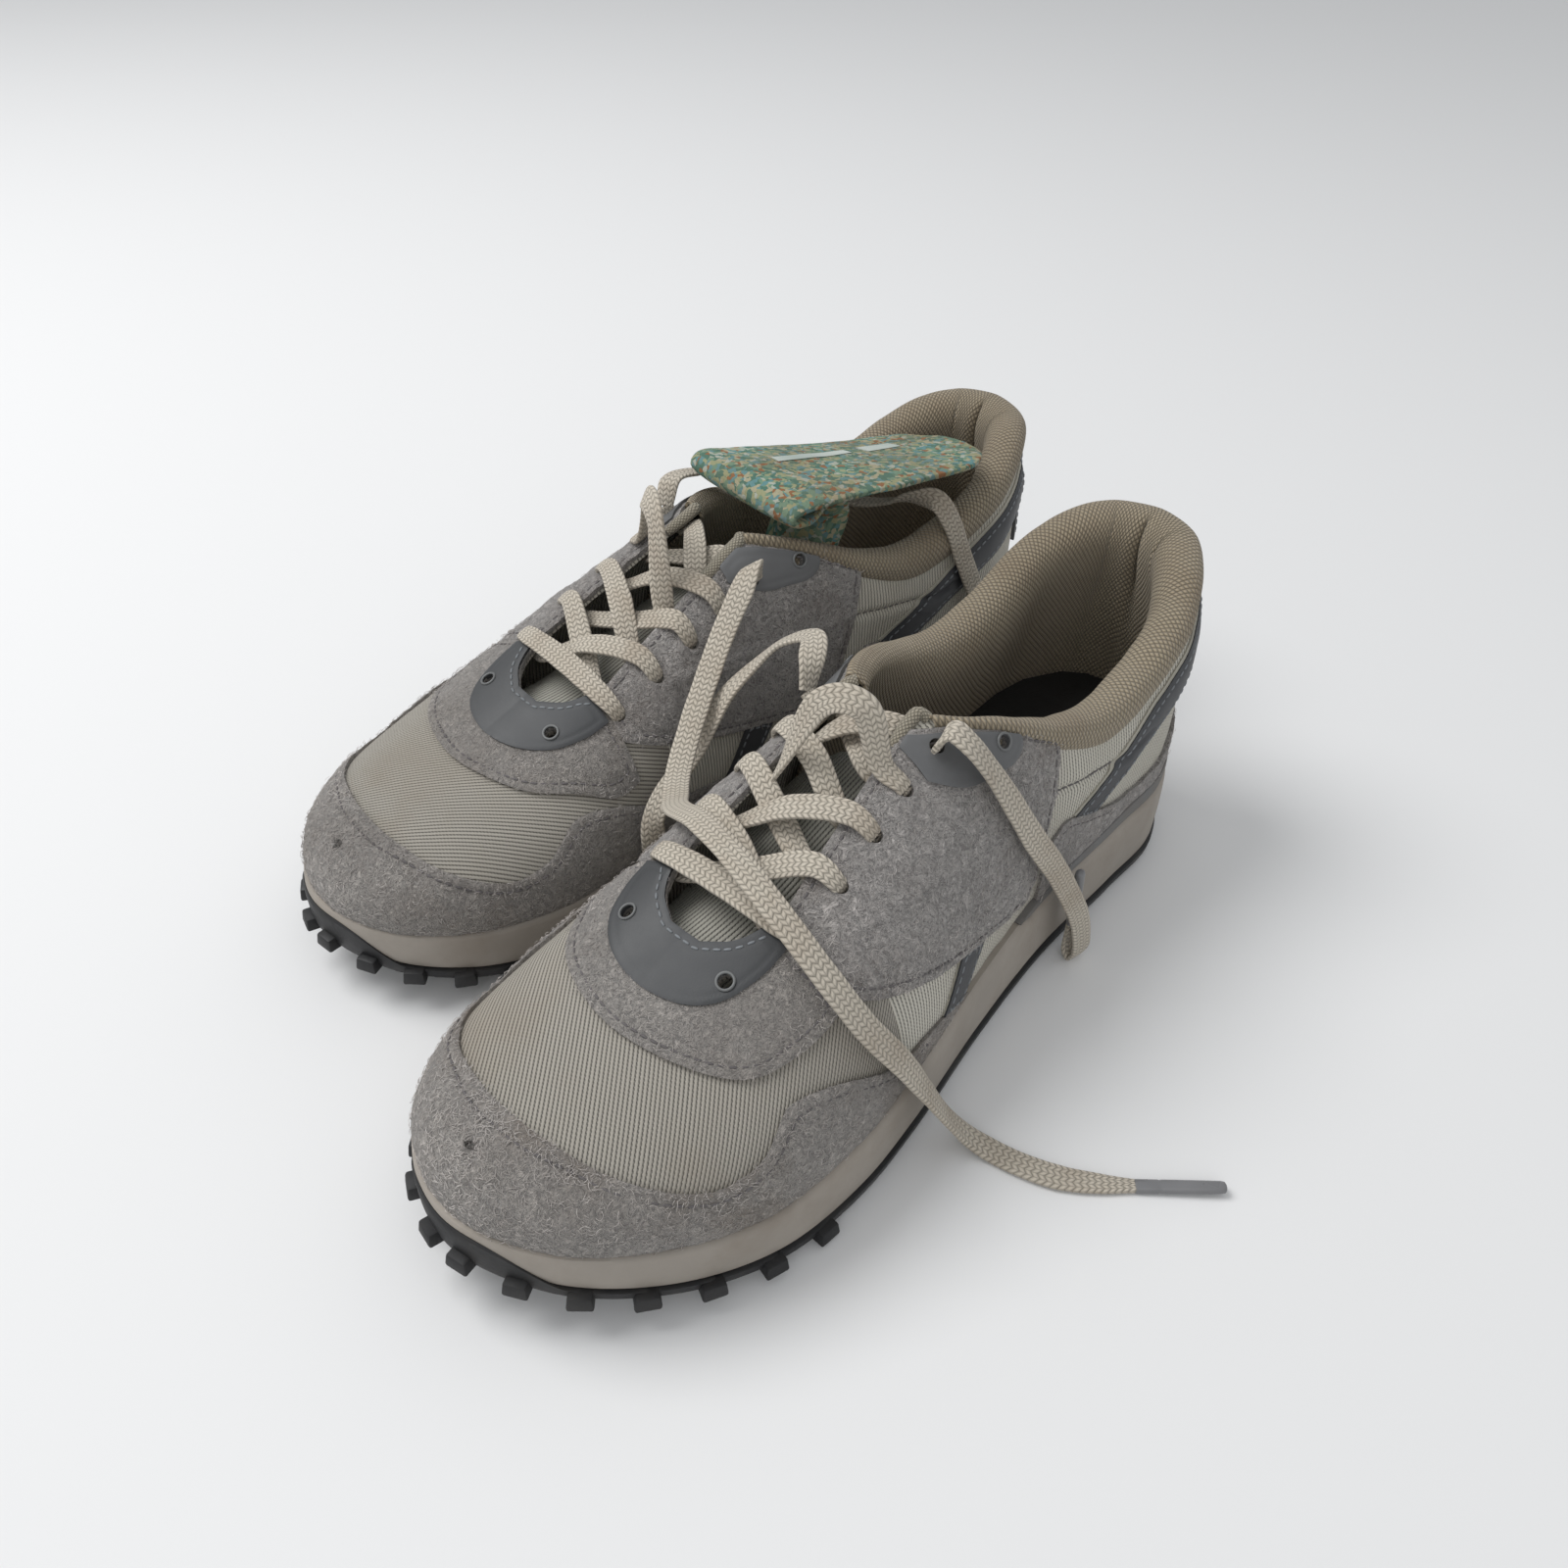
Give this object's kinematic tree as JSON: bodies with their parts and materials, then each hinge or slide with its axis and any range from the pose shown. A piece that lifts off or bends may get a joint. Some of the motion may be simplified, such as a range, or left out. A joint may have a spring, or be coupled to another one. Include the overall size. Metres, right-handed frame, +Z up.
{
  "type": "running shoes",
  "caption": "Pair of low-cut lace-up retro running shoes with suede overlays on ribbed textile, foam midsoles, untied flat laces and one lifted insole.",
  "frame": {"origin": "centre of the footprint of the pair on the ground, free laces left out", "axes": "+Z up, toes towards -Y, heels towards +Y, left shoe on the +X side"},
  "size_m": [0.2905, 0.3486, 0.1141],
  "materials": {
    "rubber_outsole": "matt moulded black rubber",
    "cream_foam": "matt cream compression-moulded foam, slightly yellowed",
    "grey_foam": "matt grey foam",
    "board": "fibre board",
    "flecked_foam": "matt green and teal flecked recycled foam",
    "dark_sockliner": "near-black knit",
    "ribbed_textile": "off-white ribbed textile",
    "counter_board": "stiff thermoplastic",
    "suede": "grey napped suede with stray fibres",
    "grey_synthetic": "satin dark grey synthetic leather",
    "grey_webbing": "dark grey woven webbing",
    "collar_mesh": "beige open mesh over foam",
    "aglet": "satin grey film sleeve",
    "cotton_lace": "cream woven cotton"
  },
  "bodies": {
    "left_shoe": {"left_aglet_a": "aglet", "left_aglet_b": "aglet", "left_collar_padding": "collar_mesh", "left_eyelet_patch_lateral": "grey_synthetic", "left_eyelet_patch_medial": "grey_synthetic", "left_eyestay_lateral": "suede", "left_eyestay_medial": "suede", "left_front_strap_lateral": "grey_synthetic", "left_front_strap_medial": "grey_synthetic", "left_heel_counter": "counter_board", "left_heel_foxing": "suede", "left_heel_strap_lateral": "grey_synthetic", "left_heel_strap_medial": "grey_synthetic", "left_heel_tab": "grey_synthetic", "left_heel_wedge": "grey_foam", "left_insole": "dark_sockliner", "left_lace_end_a": "cotton_lace", "left_lace_end_b": "cotton_lace", "left_lace_laced": "cotton_lace", "left_lasting_board": "board", "left_midsole": "cream_foam", "left_mudguard": "suede", "left_outsole": "rubber_outsole", "left_pull_loop": "grey_webbing", "left_quarter_lateral": "ribbed_textile", "left_quarter_medial": "ribbed_textile", "left_throat_patch": "grey_synthetic", "left_throat_stay": "suede", "left_vamp": "ribbed_textile"},
    "left_tongue": {"left_tongue": "ribbed_textile"},
    "right_shoe": {"right_aglet_a": "aglet", "right_aglet_b": "aglet", "right_collar_padding": "collar_mesh", "right_eyelet_patch_lateral": "grey_synthetic", "right_eyelet_patch_medial": "grey_synthetic", "right_eyestay_lateral": "suede", "right_eyestay_medial": "suede", "right_front_strap_lateral": "grey_synthetic", "right_front_strap_medial": "grey_synthetic", "right_heel_counter": "counter_board", "right_heel_foxing": "suede", "right_heel_strap_lateral": "grey_synthetic", "right_heel_strap_medial": "grey_synthetic", "right_heel_tab": "grey_synthetic", "right_heel_wedge": "grey_foam", "right_insole": "flecked_foam", "right_lace_end_a": "cotton_lace", "right_lace_end_b": "cotton_lace", "right_lace_laced": "cotton_lace", "right_lasting_board": "board", "right_midsole": "cream_foam", "right_mudguard": "suede", "right_outsole": "rubber_outsole", "right_pull_loop": "grey_webbing", "right_quarter_lateral": "ribbed_textile", "right_quarter_medial": "ribbed_textile", "right_throat_patch": "grey_synthetic", "right_throat_stay": "suede", "right_vamp": "ribbed_textile"},
    "right_tongue": {"right_tongue": "ribbed_textile"}
  },
  "joints": [
    {"name": "left_tongue_hinge", "type": "hinge", "parent": "left_shoe", "child": "left_tongue", "pos_m": [0.0533, -0.0914, 0.057], "axis": [1, 0, 0], "range_deg": [-10, 0]},
    {"name": "right_tongue_hinge", "type": "hinge", "parent": "right_shoe", "child": "right_tongue", "pos_m": [-0.05342, -0.05435, 0.057], "axis": [0.993, -0.1184, 0], "range_deg": [-4, 0]},
    {"name": "right_shoe_lift", "type": "slide", "parent": "left_shoe", "child": "right_shoe", "axis": [0, 0, 1], "range_m": [0, 0.12]}
  ]
}
